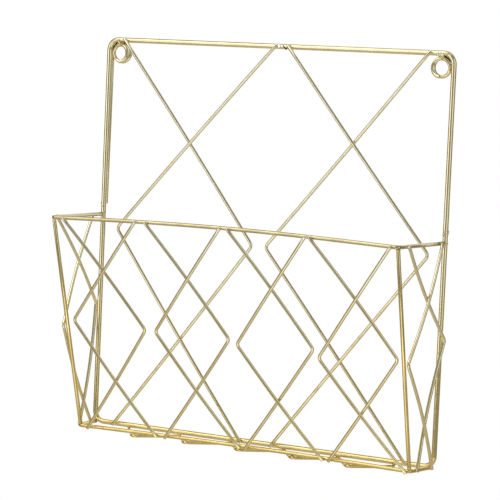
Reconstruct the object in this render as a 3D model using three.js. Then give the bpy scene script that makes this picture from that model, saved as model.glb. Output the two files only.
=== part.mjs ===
// Wall magazine rack: a welded wire rack with a flat back frame and a slanted basket of open lattice panels.
// Every piece is a length of round wire, cut, bent and spot welded to its neighbours. Nothing on it moves.
// X runs to the right as seen from the front, Y runs into the wall and Z runs up.
// The origin lies on the wall plane, midway between the two hanging eyes.
import * as THREE from "three";

// Wire sizes, as diameters in millimetres
const frameRod = 4;
const basketWire = 3;
const hangerWire = 2.7;
const latticeWire = 2.5;
const seatGap = 0.3; // left between two pieces where the real ones are welded

// Back frame, measured between the centre lines of its rods
const frameWidth = 296;
const frameHeight = 298.6;
const frameBend = 8;

// Basket, measured on the centre lines of its wires, with depths from the plane of the back frame
const rimHeight = 162.8;
const rimDepth = 70.5;
const rimFrontInset = 1.5; // how far inside the line of each upright the front corners of the rim lie
const rimCrown = 2.8; // the front of the rim arches up by this much at its middle
const baseDepth = 28.7;
const baseFrontInset = 4.8;
const baseRearInset = 1.5;
const baseCrown = 1.3;
const basketBend = 2.5;

// Hanging eyes: a stem behind the upright goes over the eye in a wide turn, which narrows to a round one
const eyeHole = 10.2;
const eyeTurns = 1.75;
const eyeNarrowing = 0.75; // turns over which the wide turn narrows
const eyeLead = 0.3; // turns before the wire starts to come forward
const eyeTurnGap = 1;
const eyeDrop = 0.3; // how much lower than a tight fit under the rail the eye hangs
const stemFootAboveRim = 8;
const stemFootInset = 0.3; // inside the line of the upright
const stemTopInset = 1;
const stemShift = -0.5; // how far to the right both stems sit

// Lattice wires are chevrons: each has one bend, and its two tips lie over a rail
const latticeBend = 4;
const tipOverRod = 1.2; // how far a tip passes the centre line of a back frame rod
const tipOverWire = 0.8; // how far a tip passes the centre line of a basket wire

// Back lattice: two outer chevrons bend near the centre line, and two inner ones bend near the uprights
const outerTopInset = 16.2; // from the line of the upright
const outerFootInset = 19.4;
const outerBendAt = 5.6; // from the centre line
const outerBendHeight = 148.6;
const outerShift = -1.1; // how far the outer pair sits to the right
const outerBendShift = -3.5; // how much further its bends do
const innerTop = 4.6; // from the centre line
const innerTopShift = 7.9;
const innerFoot = 12.7;
const innerBendInset = 13.2; // from the line of the upright
const innerBendHeight = 153.2;
const innerBendShift = 2.4;

// Front lattice: equal cells side by side, each with two crossed chevrons
const frontCells = 4;
const frontCellGap = 5.8;
const frontRowInset = 8; // from the rim's front corner to the first cell, with the row centred
const frontRowShift = 4.6; // how far the row sits to the right
const frontCellStray = 1.3; // inner cells sit this far to the right of even places, outer ones to the left
const rightBendHeight = 82.8; // of the chevrons that point to the right
const leftBendHeight = 85; // of the first chevron that points to the left
const leftBendStep = 2.7; // how much lower each next one bends

// Side lattices: one chevron bends at the upright, the other at the front post
const rearwardTopInset = 9.8; // behind the front of the rim
const rearwardFootInset = 4.7; // behind the front of the base rail
const rearwardBendHeight = 93;
const forwardTopDepth = 9.5;
const forwardFootDepth = 4.5;
const forwardBendHeight = 79;
const sideBow = 2;

// Floor wire: one zigzag under the base
const floorBends = 5; // bends at the front rail
const floorEndInset = 27; // from the front corner of the base rail
const floorBend = 3;

// Fineness of the faceted wires
const rodSides = 14;
const wireSides = 10;
const bendStep = THREE.MathUtils.degToRad(18);
const eyeStep = THREE.MathUtils.degToRad(15);
const legSteps = 8;
const archSteps = 12;

// Seats, worked out from the wires that meet there
const rodRadius = frameRod / 2;
const basketRadius = basketWire / 2;
const hangerRadius = hangerWire / 2;
const latticeRadius = latticeWire / 2;
const latticeOnRod = rodRadius + seatGap + latticeRadius;
const latticeOnBasket = basketRadius + seatGap + latticeRadius;
const hangerOnRod = rodRadius + seatGap + hangerRadius;
const crossingBow = latticeRadius + seatGap / 2;
const eyeRadius = eyeHole / 2 + hangerRadius;
const halfFrame = frameWidth / 2;
const halfRim = halfFrame - rimFrontInset;
const halfBase = halfFrame - baseFrontInset;
const eyeX = halfFrame - hangerOnRod - eyeRadius;
const eyeZ = frameHeight - hangerOnRod - eyeDrop - eyeRadius;
const wallY = hangerOnRod + hangerRadius; // the stems' backs touch the wall

const point = (x, y, z) => new THREE.Vector3(x, y, z);

// The centre line of a wire, as a curve that steps exactly through its stations.
class WirePath extends THREE.Curve {
  constructor(stations, closed = false) {
    super();
    this.stations = stations;
    this.closed = closed;
    this.steps = closed ? stations.length : stations.length - 1;
  }

  station(index) {
    const count = this.stations.length;
    return this.stations[this.closed ? (index + count) % count : THREE.MathUtils.clamp(index, 0, count - 1)];
  }

  getPoint(t, target = new THREE.Vector3()) {
    const place = t * this.steps;
    const index = Math.min(Math.floor(place + 1e-9), this.steps);
    return target.lerpVectors(this.station(index), this.station(index + 1), Math.max(place - index, 0));
  }

  getPointAt(u, target) {
    return this.getPoint(u, target);
  }

  // At a station the tangent halves the turn between the runs that meet there.
  getTangentAt(u, target = new THREE.Vector3()) {
    const index = Math.round(u * this.steps);
    const here = this.station(index);
    const before = here.clone().sub(this.station(index - 1)).normalize();
    const after = this.station(index + 1).clone().sub(here).normalize();
    return target.addVectors(before, after).normalize();
  }
}

// Stations of a round bend at corner, between the runs from before and to after.
function bendStations(before, corner, after, radius) {
  const back = before.clone().sub(corner).normalize();
  const on = after.clone().sub(corner).normalize();
  const opening = back.angleTo(on);
  const turn = Math.PI - opening;
  const axis = on.clone().cross(back).normalize();
  const centre = back.clone().add(on).setLength(radius / Math.sin(opening / 2)).add(corner);
  const start = back.clone().multiplyScalar(radius / Math.tan(opening / 2)).add(corner).sub(centre);
  const count = Math.max(1, Math.ceil(turn / bendStep));
  const stations = [];
  for (let k = 0; k <= count; k += 1) {
    stations.push(start.clone().applyAxisAngle(axis, (turn * k) / count).add(centre));
  }
  return stations;
}

// Stations of a wire bent at each inner corner. A run may bow: its middle leaves the straight by bow(run).
function bentStations(corners, radius, { closed = false, steps = 1, bow = () => null } = {}) {
  const count = corners.length;
  const bends = corners.map((corner, k) => {
    if (!closed && (k === 0 || k === count - 1)) return [corner];
    return bendStations(corners[(k + count - 1) % count], corner, corners[(k + 1) % count], radius);
  });
  const stations = [];
  bends.forEach((bend, k) => {
    stations.push(...bend);
    const next = bends[(k + 1) % count];
    const offset = bow(k);
    if (!offset || (!closed && k === count - 1)) return;
    for (let i = 1; i < steps; i += 1) {
      const share = i / steps;
      const onRun = bend[bend.length - 1].clone().lerp(next[0], share);
      stations.push(onRun.addScaledVector(offset, Math.sin(Math.PI * share)));
    }
  });
  return stations;
}

// A regular section whose flats, not its corners, lie at the wire's radius.
function cornerRadius(diameter, sides) {
  return diameter / 2 / Math.cos(Math.PI / sides);
}

function wireSection(diameter, sides) {
  const corners = [];
  for (let k = 0; k < sides; k += 1) {
    const angle = ((k + 0.5) * 2 * Math.PI) / sides;
    const reach = cornerRadius(diameter, sides);
    corners.push(new THREE.Vector2(reach * Math.cos(angle), reach * Math.sin(angle)));
  }
  return new THREE.Shape(corners);
}

// Plated steel. The base of the basket takes a little more colour from the light below it than the top does.
function plating(colour) {
  return new THREE.MeshStandardMaterial({ color: colour, roughness: 0.3, metalness: 1 });
}

const paleGold = 0xd9c48f;
const deepGold = 0xd2b56c;

function wire(name, stations, diameter, colour) {
  const path = new WirePath(stations);
  const geometry = new THREE.ExtrudeGeometry(wireSection(diameter, wireSides), {
    steps: path.steps,
    extrudePath: path,
  });
  const mesh = new THREE.Mesh(geometry, plating(colour));
  mesh.name = name;
  return mesh;
}

function closedWire(name, stations, diameter, colour) {
  const path = new WirePath(stations, true);
  const reach = cornerRadius(diameter, rodSides);
  const geometry = new THREE.TubeGeometry(path, path.steps, reach, rodSides, true);
  const mesh = new THREE.Mesh(geometry, plating(colour));
  mesh.name = name;
  return mesh;
}

// The back frame starts and ends in the middle of its lower rail, where its two ends are butt welded.
function backFrame() {
  const corners = [
    point(halfFrame, 0, 0),
    point(halfFrame, 0, frameHeight),
    point(-halfFrame, 0, frameHeight),
    point(-halfFrame, 0, 0),
  ];
  const stations = bentStations(corners, frameBend, { closed: true });
  return closedWire("back_frame", [point(0, 0, 0), ...stations], frameRod, paleGold);
}

// The stem runs up behind the upright, then the wire turns over the eye, narrows and comes forward.
function eyeStations(side) {
  const footX = side * (halfFrame - stemFootInset) + stemShift;
  const startX = side * (halfFrame - stemTopInset) + stemShift;
  const startRadius = Math.abs(startX) - eyeX;
  const stations = [
    point(footX, hangerOnRod, rimHeight + stemFootAboveRim),
    point(startX, hangerOnRod, eyeZ),
  ];
  const count = Math.round((eyeTurns * 2 * Math.PI) / eyeStep);
  for (let k = 1; k <= count; k += 1) {
    const turned = (k / count) * eyeTurns;
    const angle = turned * 2 * Math.PI;
    const radius = THREE.MathUtils.lerp(startRadius, eyeRadius, Math.min(1, turned / eyeNarrowing));
    const forward = Math.max(0, turned - eyeLead) * (hangerWire + eyeTurnGap);
    const x = side * (eyeX + radius * Math.cos(angle));
    stations.push(point(x, hangerOnRod - forward, eyeZ + radius * Math.sin(angle)));
  }
  return stations;
}

// Least gap between turns of an eye, measured between stations a half turn or more apart.
function leastTurnGap(stations) {
  const apart = Math.round(Math.PI / eyeStep);
  let least = Infinity;
  stations.forEach((a, i) => {
    stations.slice(i + apart).forEach((b) => {
      least = Math.min(least, a.distanceTo(b) - hangerWire);
    });
  });
  return least;
}

function hanger(name, side) {
  const stations = eyeStations(side);
  console.log(name + ": least gap between turns " + leastTurnGap(stations).toFixed(2) + " mm");
  return wire(name, stations, hangerWire, paleGold);
}

// Height that an arched front rail adds at a distance x from the centre line.
function archAt(x, halfWidth, rise) {
  return rise * Math.cos((Math.PI * x) / halfWidth / 2);
}

// A U-shaped wire whose front run arches up.
function archedWire(name, corners, rise, colour) {
  const bow = (run) => (run === 1 ? point(0, 0, rise) : null);
  return wire(name, bentStations(corners, basketBend, { steps: archSteps, bow }), basketWire, colour);
}

function basketRim() {
  const seatY = -(rodRadius + seatGap);
  const corners = [
    point(-halfFrame, seatY, rimHeight),
    point(-halfRim, -rimDepth, rimHeight),
    point(halfRim, -rimDepth, rimHeight),
    point(halfFrame, seatY, rimHeight),
  ];
  return archedWire("basket_rim", corners, rimCrown, paleGold);
}

function baseRail() {
  const rearX = halfFrame - baseRearInset;
  const seatY = -(rodRadius + seatGap);
  const corners = [
    point(-rearX, seatY, 0),
    point(-halfBase, -baseDepth, 0),
    point(halfBase, -baseDepth, 0),
    point(rearX, seatY, 0),
  ];
  return archedWire("base_rail", corners, baseCrown, deepGold);
}

// Where a post's centre line meets the middle of the bend of the rim or of the base rail.
function bendMiddle(side, halfWidth, depth, height) {
  const inset = basketBend * (1 - Math.SQRT1_2);
  return point(side * (halfWidth - inset), -(depth - inset), height);
}

function frontPost(name, side) {
  const top = bendMiddle(side, halfRim, rimDepth, rimHeight);
  const foot = bendMiddle(side, halfBase, baseDepth, 0);
  const along = top.clone().sub(foot).normalize();
  const lean = Math.sqrt(1 - along.z * along.z) / along.z;
  const trim = basketRadius / along.z + seatGap + basketRadius * lean;
  return wire(
    name,
    [foot.addScaledVector(along, trim), top.addScaledVector(along, -trim)],
    basketWire,
    deepGold,
  );
}

// A chevron wire. Its legs bow to one side by the share of a crossing that keeps two chevrons apart.
function chevron(name, top, bend, foot, bowVector, colour) {
  const stations = bentStations([top, bend, foot], latticeBend, { steps: legSteps, bow: () => bowVector });
  return wire(name, stations, latticeWire, colour);
}

function backLattice() {
  const y = -latticeOnRod;
  const topZ = frameHeight + tipOverRod;
  const outer = (name, side) =>
    chevron(
      name,
      point(outerShift + side * (halfFrame - outerTopInset), y, topZ),
      point(outerShift + outerBendShift + side * outerBendAt, y, outerBendHeight),
      point(outerShift + side * (halfFrame - outerFootInset), y, -tipOverRod),
      point(0, crossingBow, 0),
      paleGold,
    );
  const inner = (name, side) =>
    chevron(
      name,
      point(innerTopShift + side * innerTop, y, topZ),
      point(innerBendShift + side * (halfFrame - innerBendInset), y, innerBendHeight),
      point(side * innerFoot, y, -tipOverRod),
      point(0, -crossingBow, 0),
      paleGold,
    );
  return [
    outer("back_chevron_left_outer", -1),
    inner("back_chevron_left_inner", -1),
    inner("back_chevron_right_inner", 1),
    outer("back_chevron_right_outer", 1),
  ];
}

// The slanted front panel, from the front of the base rail up to the front of the rim.
const panelUp = point(0, baseDepth - rimDepth, rimHeight);
const panelSlope = panelUp.clone().normalize();
const panelOut = point(0, -panelSlope.z, panelSlope.y);

// A point of the front lattice: share runs from the base rail to the rim, and past is added along the slope.
function onFrontPanel(x, share, past = 0) {
  const rimLift = share * share * archAt(x, halfRim, rimCrown);
  const baseLift = (1 - share) * (1 - share) * archAt(x, halfBase, baseCrown);
  return point(x, -baseDepth, rimLift + baseLift)
    .addScaledVector(panelUp, share)
    .addScaledVector(panelSlope, past)
    .addScaledVector(panelOut, latticeOnBasket);
}

function frontLattice() {
  const rowWidth = 2 * (halfRim - frontRowInset);
  const pitch = (rowWidth + frontCellGap) / frontCells;
  const pointing = (name, topX, bendX, footX, bendHeight, layer) =>
    chevron(
      name,
      onFrontPanel(topX, 1, tipOverWire),
      onFrontPanel(bendX, bendHeight / rimHeight),
      onFrontPanel(footX, 0, -tipOverWire),
      panelOut.clone().multiplyScalar(layer * crossingBow),
      deepGold,
    );
  const chevrons = [];
  for (let cell = 0; cell < frontCells; cell += 1) {
    const evenX = frontRowShift - rowWidth / 2 + cell * pitch;
    const outermost = cell === 0 || cell === frontCells - 1;
    const leftX = evenX + (outermost ? -frontCellStray : frontCellStray);
    const rightX = leftX + pitch - frontCellGap;
    const place = "front_cell_" + (cell + 1);
    const leftHeight = leftBendHeight - cell * leftBendStep;
    chevrons.push(
      pointing(place + "_right_chevron", leftX, rightX, evenX, rightBendHeight, -1),
      pointing(place + "_left_chevron", rightX, leftX, rightX, leftHeight, 1),
    );
  }
  return chevrons;
}

// A point of a side panel at a height and a depth, pushed out by the seat of the wire that it rests on.
function onSidePanel(side, height, depth, out) {
  const share = height / rimHeight;
  const postDepth = THREE.MathUtils.lerp(baseDepth, rimDepth, share);
  const postX = THREE.MathUtils.lerp(halfBase, halfRim, share);
  const rearX = THREE.MathUtils.lerp(halfFrame - baseRearInset, halfFrame, Math.min(1, share * 4));
  const x = THREE.MathUtils.lerp(rearX, postX, depth / postDepth);
  return point(side * (x + out), -depth, height);
}

function sideLattice(side, label) {
  const postDepth = THREE.MathUtils.lerp(baseDepth, rimDepth, forwardBendHeight / rimHeight);
  const topZ = rimHeight + tipOverWire;
  const onWire = (height, depth) => onSidePanel(side, height, depth, latticeOnBasket);
  return [
    chevron(
      "side_chevron_" + label + "_rearward",
      onWire(topZ, rimDepth - rearwardTopInset),
      onSidePanel(side, rearwardBendHeight, 0, latticeOnRod),
      onWire(-tipOverWire, baseDepth - rearwardFootInset),
      point(-side * sideBow, 0, 0),
      deepGold,
    ),
    chevron(
      "side_chevron_" + label + "_forward",
      onWire(topZ, forwardTopDepth),
      onWire(forwardBendHeight, postDepth),
      onWire(-tipOverWire, forwardFootDepth),
      point(side * sideBow, 0, 0),
      deepGold,
    ),
  ];
}

// The floor wire zigzags under the base, with its bends right below the front rail and the frame's lower rail.
function floorZigzag() {
  const frontZ = -latticeOnBasket;
  const rearZ = -latticeOnRod;
  const halfSpan = halfBase - floorEndInset;
  const pitch = (2 * halfSpan) / floorBends;
  const halfOpening = Math.atan(pitch / 2 / baseDepth);
  const overshoot = floorBend / Math.sin(halfOpening) - floorBend;
  const corners = [point(-halfSpan, 0, rearZ)];
  for (let k = 0; k < floorBends; k += 1) {
    const frontX = (k + 0.5) * pitch - halfSpan;
    corners.push(point(frontX, -baseDepth - overshoot, frontZ + archAt(frontX, halfBase, baseCrown)));
    const last = k === floorBends - 1;
    corners.push(point(frontX + pitch / 2, last ? 0 : overshoot, rearZ));
  }
  return wire("floor_zigzag", bentStations(corners, floorBend), latticeWire, deepGold);
}

const rack = new THREE.Group();
rack.position.set(0, -wallY, -eyeZ);
rack.add(
  backFrame(),
  hanger("hanger_left", -1),
  hanger("hanger_right", 1),
  ...backLattice(),
  basketRim(),
  baseRail(),
  frontPost("front_post_left", -1),
  frontPost("front_post_right", 1),
  ...frontLattice(),
  ...sideLattice(-1, "left"),
  ...sideLattice(1, "right"),
  floorZigzag(),
);

const part = new THREE.Group();
part.add(rack);

export default part;
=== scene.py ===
# Wall magazine rack: smooth round wires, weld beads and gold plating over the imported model
import bpy
import math
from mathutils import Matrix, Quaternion, Vector
from mathutils.geometry import intersect_line_line


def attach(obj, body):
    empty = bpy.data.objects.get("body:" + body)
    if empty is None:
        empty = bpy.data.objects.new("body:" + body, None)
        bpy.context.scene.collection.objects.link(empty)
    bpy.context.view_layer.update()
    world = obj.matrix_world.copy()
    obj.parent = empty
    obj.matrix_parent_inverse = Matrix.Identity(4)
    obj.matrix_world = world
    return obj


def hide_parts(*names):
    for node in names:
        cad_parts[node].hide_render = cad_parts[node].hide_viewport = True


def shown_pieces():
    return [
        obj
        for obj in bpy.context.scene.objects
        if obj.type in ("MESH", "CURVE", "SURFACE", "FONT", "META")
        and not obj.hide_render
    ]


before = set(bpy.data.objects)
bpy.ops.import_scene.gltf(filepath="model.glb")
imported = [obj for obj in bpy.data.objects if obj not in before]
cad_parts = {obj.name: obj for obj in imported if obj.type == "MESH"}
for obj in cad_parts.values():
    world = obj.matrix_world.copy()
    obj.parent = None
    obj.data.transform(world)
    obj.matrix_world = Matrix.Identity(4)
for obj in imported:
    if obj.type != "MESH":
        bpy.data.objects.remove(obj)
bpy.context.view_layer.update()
print("packed model loaded:", len(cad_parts), "nodes")

# Everything is laid out in millimetres from the middle of the frame's lower rail
mm = 0.001
wires = {
    "frame": 4.0,  # diameters
    "basket": 3.0,
    "hanger": 2.7,
    "lattice": 2.5,
    "gap": 0.3,  # left between two wires, where the weld bead sits
    "sides": 24,
    "cutEdge": 0.3,
    "bowSteps": 16,
    "bendSteps": 8,
    "merge": 0.01,
    "smoothBelow": 40,  # degrees between two faces
}
latticeOnRod = wires["frame"] / 2 + wires["gap"] + wires["lattice"] / 2
latticeOnBasket = wires["basket"] / 2 + wires["gap"] + wires["lattice"] / 2
hangerOnRod = wires["frame"] / 2 + wires["gap"] + wires["hanger"] / 2
crossingBow = wires["lattice"] / 2 + wires["gap"] / 2

backFrame = {"width": 296.0, "height": 298.6, "bend": 8.0, "slot": "pale_plating"}
hangers = {
    "eyeHole": 10.2,
    "turns": 1.75,
    "narrowing": 0.75,  # turns over which the first, wide turn narrows
    "lead": 0.3,  # turns before the wire starts to come forward
    "turnGap": 1.0,
    "eyeDrop": 0.3,  # lower than a tight fit under the rail
    "coilSteps": 84,
    "footAboveRim": 8.0,
    "footInset": 0.3,
    "topInset": 1.0,
    "stemShift": -0.5,
    "slot": "pale_plating",
}
halfFrame = backFrame["width"] / 2
eyeRadius = hangers["eyeHole"] / 2 + wires["hanger"] / 2
eyeX = halfFrame - hangerOnRod - eyeRadius
eyeZ = backFrame["height"] - hangerOnRod - hangers["eyeDrop"] - eyeRadius
wallY = hangerOnRod + wires["hanger"] / 2


def at(x, y, z):  # a place on the rack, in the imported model's metres
    return Vector((x, y - wallY, z - eyeZ)) * mm


def lerp(a, b, share):
    return a + (b - a) * share


# Wire tools: a ring of edges is fed along the wire's route and spun round each bend
routes = {}  # the centre line of each finished wire, which the welds are found from
reaches = {}  # and its radius


def startWire(name, start, heading, diameter):
    bpy.ops.object.select_all(action="DESELECT")
    bpy.ops.mesh.primitive_circle_add(
        vertices=wires["sides"],
        radius=diameter / 2 * mm,
        fill_type="NOTHING",
        location=start,
        rotation=heading.to_track_quat("Z", "Y").to_euler(),
    )
    bpy.context.object.name = name
    bpy.ops.object.transform_apply(location=True, rotation=True, scale=True)
    bpy.ops.object.mode_set(mode="EDIT")
    bpy.ops.mesh.select_mode(type="EDGE")
    routes[name] = [start.copy()]
    reaches[name] = diameter / 2 * mm


# Straight on, or in small steps where the run bows by that much at its middle
def feed(name, end, bow=None):
    start = routes[name][-1]
    steps = wires["bowSteps"] if bow else 1
    for k in range(1, steps + 1):
        spot = start.lerp(end, k / steps)
        if bow:
            spot += bow * math.sin(math.pi * k / steps)
        bpy.ops.mesh.extrude_region_move(TRANSFORM_OT_translate={"value": spot - routes[name][-1]})
        routes[name].append(spot)


def turn(name, centre, axis, angle, steps):
    bpy.ops.mesh.spin(steps=steps, angle=-angle, center=centre, axis=axis)
    arm = routes[name][-1] - centre
    for k in range(1, steps + 1):
        routes[name].append(centre + Quaternion(axis, angle * k / steps) @ arm)


# Closes the ends, eases their edges and leaves edit mode
def cutWire(name):
    bpy.ops.mesh.select_all(action="SELECT")
    bpy.ops.mesh.remove_doubles(threshold=wires["merge"] * mm)
    bpy.ops.mesh.fill_holes(sides=0)
    bpy.ops.mesh.normals_make_consistent(inside=False)
    bpy.ops.mesh.select_mode(type="FACE")
    bpy.ops.mesh.select_all(action="DESELECT")
    bpy.ops.mesh.select_face_by_sides(number=wires["sides"], type="EQUAL", extend=False)
    if bpy.context.object.data.total_face_sel:
        bpy.ops.mesh.bevel(offset=wires["cutEdge"] * mm, segments=2, affect="EDGES")
    bpy.ops.object.mode_set(mode="OBJECT")
    bpy.ops.object.shade_smooth_by_angle(angle=math.radians(wires["smoothBelow"]))
    wire = bpy.context.object
    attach(wire, "root")
    return wire


def bendCorner(name, before, corner, after, radius, bow=None):
    back = (before - corner).normalized()
    on = (after - corner).normalized()
    opening = back.angle(on)
    centre = corner + (back + on).normalized() * radius * mm / math.sin(opening / 2)
    feed(name, corner + back * radius * mm / math.tan(opening / 2), bow)
    turn(name, centre, on.cross(back).normalized(), math.pi - opening, wires["bendSteps"])


def bendWire(node, corners, diameter, radius, bows=None):
    name = node + "_round"
    bows = bows or {}
    startWire(name, corners[0], corners[1] - corners[0], diameter)
    for k in range(1, len(corners) - 1):
        bendCorner(name, corners[k - 1], corners[k], corners[k + 1], radius, bows.get(k - 1))
    feed(name, corners[-1], bows.get(len(corners) - 2))
    wire = cutWire(name)
    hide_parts(node)
    return wire


# Back frame: one ring of rod, whose two ends meet in the middle of the lower rail
def buildBackFrame():
    top = backFrame["height"]
    corners = [at(0, 0, 0), at(halfFrame, 0, 0), at(halfFrame, 0, top)]
    corners += [at(-halfFrame, 0, top), at(-halfFrame, 0, 0), at(0, 0, 0)]
    bendWire("back_frame", corners, wires["frame"], backFrame["bend"])


buildBackFrame()
print("back frame built")


# Hangers: a stem behind the upright, coiled forwards into the eye under the frame's corner
rimHeight = 162.8


def buildHanger(node, side):
    name = node + "_round"
    footX = side * (halfFrame - hangers["footInset"]) + hangers["stemShift"]
    startX = side * (halfFrame - hangers["topInset"]) + hangers["stemShift"]
    foot = at(footX, hangerOnRod, rimHeight + hangers["footAboveRim"])
    start = at(startX, hangerOnRod, eyeZ)
    startWire(name, foot, start - foot, wires["hanger"])
    feed(name, start)
    for k in range(1, hangers["coilSteps"] + 1):
        turned = hangers["turns"] * k / hangers["coilSteps"]
        step = 2 * math.pi * hangers["turns"] / hangers["coilSteps"]
        turn(name, at(side * eyeX, hangerOnRod, eyeZ), Vector((0, -side, 0)), step, 1)
        radius = lerp(abs(startX) - eyeX, eyeRadius, min(1, turned / hangers["narrowing"]))
        forward = max(0, turned - hangers["lead"]) * (wires["hanger"] + hangers["turnGap"])
        angle = 2 * math.pi * turned
        across = side * (eyeX + radius * math.cos(angle))
        spot = at(across, hangerOnRod - forward, eyeZ + radius * math.sin(angle))
        bpy.ops.transform.translate(value=spot - routes[name][-1])
        routes[name][-1] = spot
    wire = cutWire(name)
    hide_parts(node)


buildHanger("hanger_left", -1)
buildHanger("hanger_right", 1)
print("hangers built")


# Basket: the rim and the base rail are bent to a U, and two straight posts join their corners
basket = {
    "rimDepth": 70.5,
    "rimFrontInset": 1.5,  # inside the line of each upright
    "rimCrown": 2.8,  # how far the front of the rim arches up
    "baseDepth": 28.7,
    "baseFrontInset": 4.8,
    "baseRearInset": 1.5,
    "baseCrown": 1.3,
    "bend": 2.5,
    "rimSlot": "pale_plating",
    "baseSlot": "deep_plating",
}
halfRim = halfFrame - basket["rimFrontInset"]
halfBase = halfFrame - basket["baseFrontInset"]


def buildBasket():
    rearY = -(wires["frame"] / 2 + wires["gap"])
    bend = basket["bend"]
    rim = [at(-halfFrame, rearY, rimHeight), at(-halfRim, -basket["rimDepth"], rimHeight)]
    rim += [at(halfRim, -basket["rimDepth"], rimHeight), at(halfFrame, rearY, rimHeight)]
    bows = {1: Vector((0, 0, basket["rimCrown"] * mm))}
    bendWire("basket_rim", rim, wires["basket"], bend, bows)
    rearX = halfFrame - basket["baseRearInset"]
    base = [at(-rearX, rearY, 0), at(-halfBase, -basket["baseDepth"], 0)]
    base += [at(halfBase, -basket["baseDepth"], 0), at(rearX, rearY, 0)]
    bows = {1: Vector((0, 0, basket["baseCrown"] * mm))}
    bendWire("base_rail", base, wires["basket"], bend, bows)
    for node, side in (("front_post_left", -1), ("front_post_right", 1)):
        inset = bend * (1 - math.sqrt(0.5))
        top = at(side * (halfRim - inset), inset - basket["rimDepth"], rimHeight)
        foot = at(side * (halfBase - inset), inset - basket["baseDepth"], 0)
        along = (top - foot).normalized()
        lean = math.sqrt(1 - along.z**2) / along.z
        trim = wires["basket"] / 2 / along.z + wires["gap"] + wires["basket"] / 2 * lean
        ends = [foot + along * trim * mm, top - along * trim * mm]
        bendWire(node, ends, wires["basket"], bend)


buildBasket()
print("basket wires built")


# Chevrons: every lattice wire has one bend, and its tips lie over a rail
chevrons = {"bend": 4.0, "tipOverRod": 1.2, "tipOverWire": 0.8}


def buildChevron(node, top, bend, foot, bow):
    legs = {0: bow * mm, 1: bow * mm}
    bendWire(node, [top, bend, foot], wires["lattice"], chevrons["bend"], legs)


backLattice = {
    "outerTopInset": 16.2,  # from the line of the upright
    "outerFootInset": 19.4,
    "outerBendAt": 5.6,  # from the centre line
    "outerBendHeight": 148.6,
    "outerShift": -1.1,  # how far to the right the outer pair sits
    "outerBendShift": -3.5,
    "innerTop": 4.6,  # from the centre line
    "innerTopShift": 7.9,
    "innerFoot": 12.7,
    "innerBendInset": 13.2,
    "innerBendHeight": 153.2,
    "innerBendShift": 2.4,
    "slot": "pale_plating",
}


def buildBackLattice():
    sizes = backLattice
    y = -latticeOnRod
    topZ = backFrame["height"] + chevrons["tipOverRod"]
    footZ = -chevrons["tipOverRod"]
    for label, side in (("left", -1), ("right", 1)):
        shift = sizes["outerShift"]
        buildChevron(
            "back_chevron_" + label + "_outer",
            at(shift + side * (halfFrame - sizes["outerTopInset"]), y, topZ),
            at(shift + sizes["outerBendShift"] + side * sizes["outerBendAt"], y, sizes["outerBendHeight"]),
            at(shift + side * (halfFrame - sizes["outerFootInset"]), y, footZ),
            Vector((0, crossingBow, 0)),
        )
        bendX = sizes["innerBendShift"] + side * (halfFrame - sizes["innerBendInset"])
        buildChevron(
            "back_chevron_" + label + "_inner",
            at(sizes["innerTopShift"] + side * sizes["innerTop"], y, topZ),
            at(bendX, y, sizes["innerBendHeight"]),
            at(side * sizes["innerFoot"], y, footZ),
            Vector((0, -crossingBow, 0)),
        )


buildBackLattice()
print("back lattice built")


# Front lattice: four cells, each a chevron pointing right with one pointing left crossed over it
frontLattice = {
    "cells": 4,
    "cellGap": 5.8,
    "rowInset": 8.0,
    "rowShift": 4.6,
    "cellStray": 1.3,  # inner cells sit this far to the right of even places, outer ones to the left
    "rightBendHeight": 82.8,
    "leftBendHeight": 85.0,
    "leftBendStep": 2.7,
    "slot": "deep_plating",
}
panelUp = Vector((0, basket["baseDepth"] - basket["rimDepth"], rimHeight))
panelSlope = panelUp.normalized()
panelOut = Vector((0, -panelSlope.z, panelSlope.y))


def archAt(x, halfWidth, rise):
    return rise * math.cos(math.pi * x / halfWidth / 2)


def onFrontPanel(x, share, past=0):
    rimLift = share**2 * archAt(x, halfRim, basket["rimCrown"])
    baseLift = (1 - share) ** 2 * archAt(x, halfBase, basket["baseCrown"])
    spot = Vector((x, -basket["baseDepth"], rimLift + baseLift)) + panelUp * share
    return at(*(spot + panelSlope * past + panelOut * latticeOnBasket))


def buildFrontLattice():
    sizes = frontLattice
    rowWidth = 2 * (halfRim - sizes["rowInset"])
    pitch = (rowWidth + sizes["cellGap"]) / sizes["cells"]
    over = chevrons["tipOverWire"]
    for cell in range(sizes["cells"]):
        evenX = sizes["rowShift"] - rowWidth / 2 + cell * pitch
        outermost = cell in (0, sizes["cells"] - 1)
        leftX = evenX + (-sizes["cellStray"] if outermost else sizes["cellStray"])
        rightX = leftX + pitch - sizes["cellGap"]
        leftHeight = sizes["leftBendHeight"] - cell * sizes["leftBendStep"]
        node = "front_cell_" + str(cell + 1)
        buildChevron(
            node + "_right_chevron",
            onFrontPanel(leftX, 1, over),
            onFrontPanel(rightX, sizes["rightBendHeight"] / rimHeight),
            onFrontPanel(evenX, 0, -over),
            -crossingBow * panelOut,
        )
        buildChevron(
            node + "_left_chevron",
            onFrontPanel(rightX, 1, over),
            onFrontPanel(leftX, leftHeight / rimHeight),
            onFrontPanel(rightX, 0, -over),
            crossingBow * panelOut,
        )


buildFrontLattice()
print("front lattice built")


# Side lattices: one chevron bends at the upright and the other at the front post
sideLattice = {
    "rearwardTopInset": 9.8,
    "rearwardFootInset": 4.7,
    "rearwardBendHeight": 93.0,
    "forwardTopDepth": 9.5,
    "forwardFootDepth": 4.5,
    "forwardBendHeight": 79.0,
    "bow": 2.0,
    "slot": "deep_plating",
}


def onSidePanel(side, height, depth, out):
    share = height / rimHeight
    postDepth = lerp(basket["baseDepth"], basket["rimDepth"], share)
    rearX = lerp(halfFrame - basket["baseRearInset"], halfFrame, min(1, share * 4))
    x = lerp(rearX, lerp(halfBase, halfRim, share), depth / postDepth)
    return at(side * (x + out), -depth, height)


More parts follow.
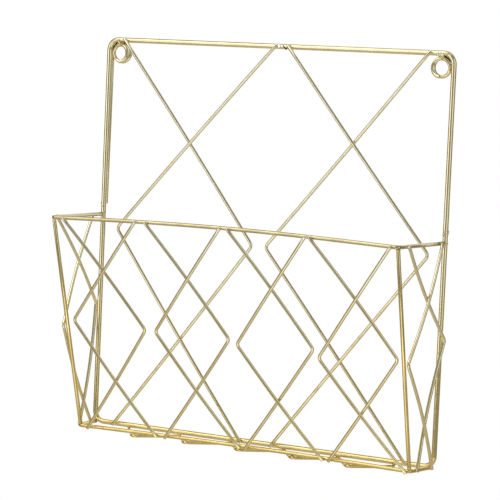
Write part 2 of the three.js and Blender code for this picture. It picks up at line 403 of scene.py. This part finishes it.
def buildSideLattice(label, side):
    sizes = sideLattice
    over = chevrons["tipOverWire"]
    postDepth = lerp(basket["baseDepth"], basket["rimDepth"], sizes["forwardBendHeight"] / rimHeight)
    buildChevron(
        "side_chevron_" + label + "_rearward",
        onSidePanel(side, rimHeight + over, basket["rimDepth"] - sizes["rearwardTopInset"], latticeOnBasket),
        onSidePanel(side, sizes["rearwardBendHeight"], 0, latticeOnRod),
        onSidePanel(side, -over, basket["baseDepth"] - sizes["rearwardFootInset"], latticeOnBasket),
        Vector((-side * sizes["bow"], 0, 0)),
    )
    buildChevron(
        "side_chevron_" + label + "_forward",
        onSidePanel(side, rimHeight + over, sizes["forwardTopDepth"], latticeOnBasket),
        onSidePanel(side, sizes["forwardBendHeight"], postDepth, latticeOnBasket),
        onSidePanel(side, -over, sizes["forwardFootDepth"], latticeOnBasket),
        Vector((side * sizes["bow"], 0, 0)),
    )


buildSideLattice("left", -1)
buildSideLattice("right", 1)
print("side lattices built")


# Floor: one zigzag wire under the base rail and the frame's lower rail
floorWire = {"bends": 5, "endInset": 27.0, "bend": 3.0, "slot": "deep_plating"}


def buildFloorWire():
    halfSpan = halfBase - floorWire["endInset"]
    pitch = 2 * halfSpan / floorWire["bends"]
    halfOpening = math.atan(pitch / 2 / basket["baseDepth"])
    overshoot = floorWire["bend"] / math.sin(halfOpening) - floorWire["bend"]
    corners = [at(-halfSpan, 0, -latticeOnRod)]
    for k in range(floorWire["bends"]):
        frontX = (k + 0.5) * pitch - halfSpan
        frontZ = archAt(frontX, halfBase, basket["baseCrown"]) - latticeOnBasket
        corners.append(at(frontX, -basket["baseDepth"] - overshoot, frontZ))
        last = k == floorWire["bends"] - 1
        corners.append(at(frontX + pitch / 2, 0 if last else overshoot, -latticeOnRod))
    bendWire("floor_zigzag", corners, wires["lattice"], floorWire["bend"])


buildFloorWire()
print("floor wire built")


# Weld beads: found wherever two wires come within a weld's reach, and copied there from one model
beadMesh = {"segments": 14, "rings": 8, "spread": 0.2, "swell": 0.8, "seed": 3, "levels": 1}
welds = {
    "radius": 1.3,
    "thick": 0.62,
    "uneven": 0.12,
    "within": 0.75,  # how near two wires lie where they are welded
    "apart": 6.0,
    "stemApart": 36.0,  # along the hangers' stems
    "collar": 1.5,  # times a bead's size, where a rail ends on the frame
}
lumps = {"radius": 1.0, "thick": 0.85, "uneven": 0.2, "turn": 2.1}
lumpRows = {  # rows of gold lumps, listed in the rack's millimetres
    "eye_left": {"start": (-138.6, -1.6, 298.0), "end": (-137.6, -1.8, 294.6), "count": 3, "size": 1.5},
    "eye_left_side": {"start": (-135.9, -1.2, 295.6), "end": (-139.9, -0.9, 294.2), "count": 2, "size": 1.15},
    "eye_right": {"start": (135.9, -1.5, 297.9), "end": (139.6, -2.1, 297.4), "count": 3, "size": 1.65},
    "eye_right_side": {"start": (141.9, -1.7, 298.0), "end": (144.0, -1.4, 298.2), "count": 2, "size": 1.3},
    "eye_right_low": {"start": (138.2, -1.5, 295.0), "end": (139.4, -1.9, 296.3), "count": 2, "size": 1.5},
    "stem_left": {"start": (-148.9, -0.5, 171.2), "end": (-148.3, -1.0, 168.6), "count": 2, "size": 1.55},
    "stem_right": {"start": (148.1, -0.9, 171.4), "end": (147.6, -1.0, 168.7), "count": 2, "size": 1.6},
    "foot_left": {"start": (-149.3, 1.8, 170.2), "end": (-149.1, 1.8, 168.6), "count": 2, "size": 1.25},
    "foot_right": {"start": (148.9, 1.6, 170.8), "end": (149.2, 0.2, 169.4), "count": 2, "size": 1.3},
    "rim_right": {"start": (148.4, -1.5, 161.5), "end": (149.4, -0.3, 162.6), "count": 2, "size": 1.3},
    "rim_left": {"start": (-148.6, -1.3, 161.4), "end": (-146.9, -1.8, 164.3), "count": 2, "size": 1.2},
}
# A row of near-black lumps on the upper rail, beside the bright spot
blackRow = {"start": (8.1, -1.6, 299.0), "end": (10.1, -1.5, 297.0), "count": 3, "size": 0.8}
highlightSpot = {  # one flat spot on the upper rail, coloured near white as a painted highlight
    "radius": 1.8,
    "thick": 0.4,
    "uneven": 0.03,
    "place": (4.2, -2.1, 298.8),
    "faces": (0.07, -0.90, 0.43),
}
postEnds = {"size": 1.72, "sink": 0.2}  # the lump that closes each end of a front post


# The closest places on two straight runs
def nearest(a0, a1, b0, b1):
    pair = intersect_line_line(a0, a1, b0, b1)
    if not pair:
        return None
    runA = a1 - a0
    runB = b1 - b0
    shareA = min(max((pair[0] - a0).dot(runA) / runA.length_squared, 0), 1)
    shareB = min(max((a0 + runA * shareA - b0).dot(runB) / runB.length_squared, 0), 1)
    onB = b0 + runB * shareB
    shareA = min(max((onB - a0).dot(runA) / runA.length_squared, 0), 1)
    return a0 + runA * shareA, onB


# Places where two wires all but touch, each as a spot, the way from B to A and a bead's size
def meetings(nameA, nameB, spacing):
    found = []
    routeA = routes[nameA]
    routeB = routes[nameB]
    for a0, a1 in zip(routeA, routeA[1:]):
        for b0, b1 in zip(routeB, routeB[1:]):
            ends = nearest(a0, a1, b0, b1)
            if not ends:
                continue
            apart = (ends[0] - ends[1]).length - reaches[nameA] - reaches[nameB]
            if apart < welds["within"] * mm:
                way = (ends[0] - ends[1]).normalized()
                found.append((apart, ends[1] + way * (reaches[nameB] + apart / 2), way))
    found.sort(key=lambda spot: spot[0])
    kept = []
    for apart, spot, way in found:
        if all((spot - other).length > spacing * mm for other, w, size in kept):
            kept.append((spot, way, 1))
    return kept


def modelBead(name, sizes):
    bpy.ops.object.select_all(action="DESELECT")
    bpy.ops.mesh.primitive_uv_sphere_add(
        segments=beadMesh["segments"],
        ring_count=beadMesh["rings"],
        radius=sizes["radius"] * mm,
    )
    bead = bpy.context.object
    bead.name = name
    bpy.ops.object.mode_set(mode="EDIT")
    bpy.ops.transform.resize(value=(1, 1, sizes["thick"] / sizes["radius"]))
    bpy.ops.transform.vertex_random(
        offset=sizes["uneven"] * mm,
        uniform=beadMesh["spread"],
        normal=beadMesh["swell"],
        seed=beadMesh["seed"],
    )
    bpy.ops.object.mode_set(mode="OBJECT")
    softer = bead.modifiers.new("Subdivision", "SUBSURF")
    softer.levels = beadMesh["levels"]
    softer.render_levels = beadMesh["levels"]
    bpy.ops.object.modifier_apply(modifier=softer.name)
    bpy.ops.object.shade_smooth()
    return bead


def placeBeads(name, spots, bead):
    copies = []
    for spot, way, size in spots:
        copy = bead.copy()
        copy.data = bead.data.copy()
        bpy.context.collection.objects.link(copy)
        copy.location = spot
        copy.scale = (size, size, size)
        copy.rotation_euler = way.to_track_quat("Z", "Y").to_euler()
        copies.append(copy)
    bpy.ops.object.select_all(action="DESELECT")
    for copy in copies:
        copy.select_set(True)
    bpy.context.view_layer.objects.active = copies[0]
    bpy.ops.object.transform_apply(location=True, rotation=True, scale=True)
    bpy.ops.object.join()
    joined = bpy.context.object
    joined.name = name
    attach(joined, "root")
    return joined


def weldGroup(name, group, others, bead, spacing=welds["apart"]):
    spots = []
    for a in group:
        for b in others:
            if a != b and not (b in group and b < a):
                spots += meetings(a, b, spacing)
    print(name, "has", len(spots), "welds")
    return placeBeads(name, spots, bead)


# A row of lumps, each turned a different way
def lumpsAlong(row):
    start = at(*row["start"])
    end = at(*row["end"])
    spots = []
    for k in range(row["count"]):
        turned = lumps["turn"] * k
        way = Vector((math.sin(turned), -1, math.cos(turned)))
        spots.append((start.lerp(end, k / (row["count"] - 1)), way, row["size"]))
    return spots


def postLumps(name):
    foot, top = routes[name][0], routes[name][-1]
    along = (top - foot).normalized()
    sink = along * postEnds["sink"] * mm
    return [(foot + sink, along, postEnds["size"]), (top - sink, along, postEnds["size"])]


def buildWelds():
    bead = modelBead("weld_bead", welds)
    lump = modelBead("weld_lump", lumps)
    names = list(routes)
    back = [n for n in names if n.startswith("back_chevron")]
    front = [n for n in names if n.startswith("front_cell")]
    sides = [n for n in names if n.startswith("side_chevron")]
    floor = [n for n in names if n.startswith("floor")]
    posts = [n for n in names if n.startswith("front_post")]
    rails = ["back_frame_round", "basket_rim_round", "base_rail_round"]
    weldGroup("welds_back", back, ["back_frame_round"] + back, bead)
    weldGroup("welds_front", front, ["basket_rim_round", "base_rail_round"] + front, bead)
    weldGroup("welds_sides", sides, rails + posts + sides, bead)
    weldGroup("welds_floor", floor, rails, bead)
    weldGroup("welds_posts", posts, ["basket_rim_round", "base_rail_round"], bead)
    stems = ["hanger_left_round", "hanger_right_round"]
    weldGroup("welds_stems", stems, ["back_frame_round"], bead, welds["stemApart"])
    rearY = -(wires["frame"] / 2 + wires["gap"] / 2)
    ends = [(halfFrame, rimHeight), (-halfFrame, rimHeight)]
    ends += [(side * (halfFrame - basket["baseRearInset"]), 0) for side in (-1, 1)]
    collars = [(at(x, rearY, z), Vector((0, 1, 0)), welds["collar"]) for x, z in ends]
    placeBeads("welds_rail_ends", collars, bead)
    laid = [spot for row in lumpRows.values() for spot in lumpsAlong(row)]
    placeBeads("lump_welds", laid, lump)
    placeBeads("lump_post_ends", [spot for name in posts for spot in postLumps(name)], lump)
    placeBeads("sooty_welds", lumpsAlong(blackRow), lump)
    # The flat spot wears the near-white bright look, a painted highlight
    flat = modelBead("weld_flat", highlightSpot)
    placeBeads("bright_weld", [(at(*highlightSpot["place"]), Vector(highlightSpot["faces"]), 1)], flat)
    for model in (bead, lump, flat):
        bpy.data.objects.remove(model)


buildWelds()
print("welds placed")


# Plating: shader maths is written on a small wrapper round a socket
class Value:
    def __init__(self, nodes, socket):
        self.nodes = nodes
        self.socket = socket

    def maths(self, operation, first, second):
        return self.nodes.add("ShaderNodeMath", {"operation": operation}, {0: first, 1: second})

    def __add__(self, other):
        return self.maths("ADD", self, other)

    def __radd__(self, other):
        return self.maths("ADD", other, self)

    def __mul__(self, other):
        return self.maths("MULTIPLY", self, other)

    def __rmul__(self, other):
        return self.maths("MULTIPLY", other, self)


class Nodes:
    def __init__(self, tree):
        self.tree = tree

    def add(self, kind, settings=None, sockets=None, out=0):
        node = self.tree.nodes.new(kind)
        for key, given in (settings or {}).items():
            setattr(node, key, given)
        for key, given in (sockets or {}).items():
            self.plug(node.inputs[key], given)
        return Value(self, node.outputs[out]) if node.outputs else None

    def plug(self, socket, given):
        if isinstance(given, Value):
            self.tree.links.new(given.socket, socket)
        else:
            socket.default_value = given

    def noise(self, place, scale, detail=2, rough=0.5):
        sockets = {"Vector": place, "Scale": scale, "Detail": detail, "Roughness": rough}
        return self.add("ShaderNodeTexNoise", {}, sockets)

    # Stretches the first of two values to 0 and the second to 1
    def spread(self, value, ends):
        sockets = {"Value": value, "From Min": ends[0], "From Max": ends[1]}
        return self.add("ShaderNodeMapRange", {"clamp": True}, sockets)

    def along(self, place, axis):
        return self.add("ShaderNodeSeparateXYZ", {}, {0: place}, axis)

    def distance(self, place, spot):
        return self.add("ShaderNodeVectorMath", {"operation": "DISTANCE"}, {0: place, 1: spot}, "Value")

    def blend(self, share, first, second):
        return self.add("ShaderNodeMix", {"data_type": "RGBA"}, {0: share, 6: first, 7: second}, 2)


def newMaterial(name):
    material = bpy.data.materials.new(name)
    material.use_nodes = True
    nodes = Nodes(material.node_tree)
    surface = material.node_tree.nodes["Principled BSDF"].inputs
    place = nodes.add("ShaderNodeTexCoord", out="Object")
    return material, nodes, surface, place


# Lighter and darker copies of one gold plating: the colours of pale, rim, deep, lattice and lump are painted
# light and shade, each part coloured as it looks under the studio light
plating = {
    "pale": {"light": (0.90, 0.82, 0.56, 1), "dull": (0.85, 0.75, 0.47, 1), "rough": 0.10},
    "rim": {"light": (0.70, 0.62, 0.38, 1), "dull": (0.58, 0.50, 0.29, 1), "rough": 0.12},
    "deep": {"light": (0.86, 0.74, 0.42, 1), "dull": (0.76, 0.63, 0.31, 1), "rough": 0.12},
    "lattice": {"light": (0.92, 0.87, 0.67, 1), "dull": (0.84, 0.77, 0.54, 1), "rough": 0.08},
    "weld": {"light": (0.94, 0.87, 0.62, 1), "dull": (0.42, 0.33, 0.15, 1), "rough": 0.24},
    "lump": {"light": (0.97, 0.91, 0.68, 1), "dull": (0.82, 0.70, 0.40, 1), "rough": 0.20},
    # bright: near-white, a painted highlight on the flat spot of the upper rail
    "bright": {"light": (0.99, 0.98, 0.95, 1), "dull": (0.96, 0.94, 0.88, 1), "rough": 0.16},
    "sooty": {"light": (0.12, 0.09, 0.05, 1), "dull": (0.05, 0.04, 0.03, 1), "rough": 0.35},
}
detail = {
    "clouds": {"scale": 70, "ends": (0.38, 0.62)},
    "smears": {"scale": 240, "ends": (0.35, 0.7), "rough": 0.05},
    "grain": {"scale": 1800, "rough": 0.03, "height": 0.03},
    "waves": {"scale": 160, "strength": 0.15, "depth": 0.0001},
    "coat": {"weight": 0.15, "rough": 0.1},
}
# Painted reflection: the gold is made more yellow and a little darker low on the rack
paintedLowTint = {"colour": (1.0, 0.94, 0.70, 1), "ends": (-0.12, -0.29)}  # more yellow low on the rack
# Painted shade on the rear turn of each eye, by the frame's corner
paintedShade = {
    "spot": (0.1405, 0, 0.006),
    "core": 0.006,
    "edge": 0.009,
    "coil": (-0.0034, -0.0026),  # shade from the forward turn, which is left unshaded, to the rear one
    "back": (-0.0008, -0.0014),  # and from the wall side, which is left unshaded too
    "colour": (0.07, 0.05, 0.03, 1),
}


# Painted shade: the rear turn of each eye is darkened near the frame's top corner, in the shadowed hollow
# between the eye and the rails where the eye is welded in
def addPaintedShade(nodes, place, colour):
    across = nodes.add("ShaderNodeMath", {"operation": "ABSOLUTE"}, {0: nodes.along(place, "X")})
    depth = nodes.along(place, "Y")
    flat = nodes.add("ShaderNodeCombineXYZ", {}, {"X": across, "Z": nodes.along(place, "Z")})
    near = nodes.spread(nodes.distance(flat, paintedShade["spot"]), (paintedShade["edge"], paintedShade["core"]))
    share = near * nodes.spread(depth, paintedShade["coil"]) * nodes.spread(depth, paintedShade["back"])
    return nodes.blend(share, colour, paintedShade["colour"])


def platingMaterial(name, look, eyeShaded=False):
    material, nodes, surface, place = newMaterial(name)
    clouds = detail["clouds"]
    smears = detail["smears"]
    grain = detail["grain"]
    waves = detail["waves"]
    cloudy = nodes.spread(nodes.noise(place, clouds["scale"], 3), clouds["ends"])
    fine = nodes.noise(place, grain["scale"], 2)
    smeared = nodes.spread(nodes.noise(place, smears["scale"], 3), smears["ends"])
    height = nodes.noise(place, waves["scale"], 1) + fine * grain["height"]
    shape = {"Strength": waves["strength"], "Distance": waves["depth"], "Height": height}
    gold = nodes.blend(cloudy, look["light"], look["dull"])
    # Painted reflection: more yellow and darker low on the rack
    low = nodes.spread(nodes.along(place, "Z"), paintedLowTint["ends"])
    warm = nodes.blend(low, (1, 1, 1, 1), paintedLowTint["colour"])
    both = nodes.add("ShaderNodeVectorMath", {"operation": "MULTIPLY"}, {0: gold, 1: warm})
    # The hangers' colour carries the painted shade on the eyes' rear turns
    nodes.plug(surface["Base Color"], addPaintedShade(nodes, place, both) if eyeShaded else both)
    nodes.plug(surface["Roughness"], look["rough"] + smears["rough"] * smeared + grain["rough"] * fine)
    nodes.plug(surface["Normal"], nodes.add("ShaderNodeBump", {}, shape))
    surface["Metallic"].default_value = 1
    surface["Coat Weight"].default_value = detail["coat"]["weight"]
    surface["Coat Roughness"].default_value = detail["coat"]["rough"]
    return material


def finishPieces():
    materials = {key: platingMaterial(key + "_gold", look) for key, look in plating.items()}
    # The hangers' gold, with painted shade on the rear turn of each eye
    materials["hanger"] = platingMaterial("hanger_gold", plating["pale"], eyeShaded=True)
    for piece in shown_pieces():
        if piece.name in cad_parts:
            continue
        if piece.name.startswith("welds"):
            chosen = "weld"
        elif piece.name.startswith(("lump", "bright", "sooty", "hanger")):
            chosen = piece.name.split("_")[0]
        # Each part gets its lighter or darker copy of the gold: painted light and shade
        elif "chevron" in piece.name:
            chosen = "lattice"
        elif piece.name.startswith("back_frame"):
            chosen = "pale"
        elif piece.name.startswith("basket_rim"):
            chosen = "rim"
        else:
            chosen = "deep"
        piece.data.materials.clear()
        piece.data.materials.append(materials[chosen])


finishPieces()
print("plating applied")


# Studio: a pale floor, a white background behind the rack and wide, dim softboxes to reflect
studio = {
    "floorDrop": 950.0,
    "floorSize": 7.2,
    "floorMiddle": (0.3, -0.5),
    "floorFade": (3.5, 1.7),  # metres from its middle: gone at the first and whole at the second
    "floorLight": (0.86, 0.81, 0.70, 1),
    "floorDull": (0.83, 0.78, 0.67, 1),
    "floorRough": 0.8,
    "paperGrain": 300,
    "seen": (1.0, 1.0, 1.0, 1),
    "surround": (0.27, 0.262, 0.23, 1),
}
softboxes = {  # place in metres, width and height, how bright it looks and its tint
    "key": ((-0.80, -1.39, 1.35), (2.0, 1.5), 1.66, (1.0, 0.96, 0.86)),
    "low_left": ((-0.90, -1.70, -0.15), (1.0, 0.7), 1.40, (1.0, 1.0, 1.0)),
    "low_front": ((0.55, -1.12, -0.78), (0.6, 0.4), 1.30, (1.0, 0.96, 0.86)),
    "below": ((0.08, -0.60, -0.72), (0.45, 0.4), 0.75, (1.0, 1.0, 1.0)),
    "top": ((0.00, 0.10, 1.80), (2.0, 1.2), 0.50, (1.0, 1.0, 1.0)),
    "right": ((1.80, -0.75, 0.40), (1.3, 1.8), 0.72, (0.93, 0.97, 1.0)),
    "rear": ((-0.50, 1.90, 0.40), (3.2, 2.4), 0.72, (1.0, 1.0, 1.0)),
}


def buildFloor():
    bpy.ops.object.select_all(action="DESELECT")
    spot = (*studio["floorMiddle"], -studio["floorDrop"] * mm)
    bpy.ops.mesh.primitive_plane_add(size=studio["floorSize"], location=spot)
    floor = bpy.context.object
    floor.name = "floor"
    bpy.ops.object.transform_apply(location=True, rotation=True, scale=True)
    material, nodes, surface, place = newMaterial("floor_paper")
    grain = nodes.noise(place, studio["paperGrain"], 3)
    nodes.plug(surface["Base Color"], nodes.blend(grain, studio["floorLight"], studio["floorDull"]))
    nodes.plug(surface["Alpha"], nodes.spread(nodes.distance(place, spot), studio["floorFade"]))
    surface["Roughness"].default_value = studio["floorRough"]
    floor.data.materials.append(material)


def buildWorld():
    world = bpy.data.worlds.new("studio")
    world.use_nodes = True
    bpy.context.scene.world = world
    world.node_tree.nodes.clear()
    nodes = Nodes(world.node_tree)
    cameraRay = nodes.add("ShaderNodeLightPath", out="Is Camera Ray")
    around = nodes.add("ShaderNodeBackground", {}, {"Color": studio["surround"]})
    seen = nodes.add("ShaderNodeBackground", {}, {"Color": studio["seen"]})
    shown = nodes.add("ShaderNodeMixShader", {}, {0: cameraRay, 1: around, 2: seen})
    nodes.add("ShaderNodeOutputWorld", {}, {"Surface": shown})


def buildSoftbox(name, place, size, glow, tint):
    bpy.ops.object.light_add(type="AREA", location=place)
    light = bpy.context.object
    light.name = "softbox_" + name
    light.data.shape = "RECTANGLE"
    light.data.size, light.data.size_y = size
    light.data.energy = glow * math.pi * size[0] * size[1]
    light.data.color = tint
    light.rotation_euler = (-Vector(place)).to_track_quat("-Z", "Y").to_euler()
    light.visible_camera = False


buildFloor()
buildWorld()
for name, (place, size, glow, tint) in softboxes.items():
    buildSoftbox(name, place, size, glow, tint)
print("studio built")


# Camera: at the photograph's viewing angle
cameraView = {
    "azimuth": 30.41,
    "elevation": 4.614,
    "roll": 2.557,
    "lens": 170.95,
    "sensor": 36.0,
    "place": (888.16, -1537.02, 288.87),
}


def buildCamera():
    a = math.radians(cameraView["azimuth"])
    e = math.radians(cameraView["elevation"])
    ahead = Vector((-math.sin(a) * math.cos(e), math.cos(a) * math.cos(e), -math.sin(e)))
    bpy.ops.object.camera_add(location=at(*cameraView["place"]))
    camera = bpy.context.object
    camera.name = "camera"
    level = ahead.to_track_quat("-Z", "Y")
    camera.rotation_mode = "QUATERNION"
    camera.rotation_quaternion = level @ Quaternion((0, 0, 1), math.radians(cameraView["roll"]))
    camera.data.lens = cameraView["lens"]
    camera.data.sensor_width = cameraView["sensor"]
    bpy.context.scene.camera = camera
    bpy.context.scene.view_settings.view_transform = "Standard"


buildCamera()
print("camera placed")

bpy.context.view_layer.update()
